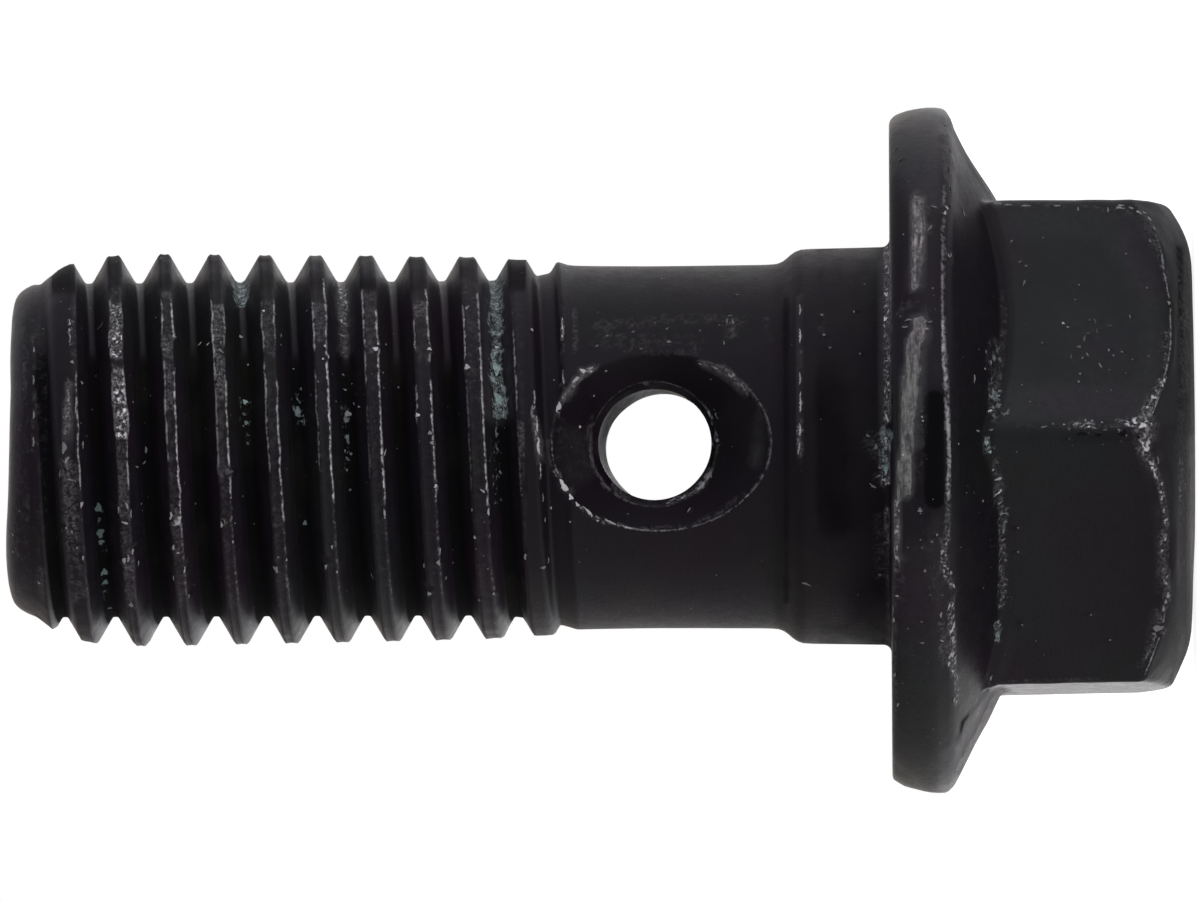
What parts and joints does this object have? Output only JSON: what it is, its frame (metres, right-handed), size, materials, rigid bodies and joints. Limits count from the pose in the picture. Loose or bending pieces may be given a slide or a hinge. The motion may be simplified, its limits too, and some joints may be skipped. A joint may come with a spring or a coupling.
{
  "type": "banjo bolt",
  "caption": "Hollow hex flange bolt with a threaded shank, a countersunk cross hole below the head and an axial passage, for clamping a ring-shaped fluid fitting.",
  "frame": {"origin": "centre of the flange's bearing face, on the bolt axis", "axes": "+Z along the bolt axis from the bearing face to the threaded tip, the hex head on -Z; the cross hole runs along Y"},
  "size_m": [0.017, 0.017, 0.0294],
  "materials": {
    "black_steel": "black oxide coated steel, satin gloss, worn to grey on crests and edges"
  },
  "bodies": {
    "root": {"banjo_bolt": "black_steel"}
  },
  "joints": []
}
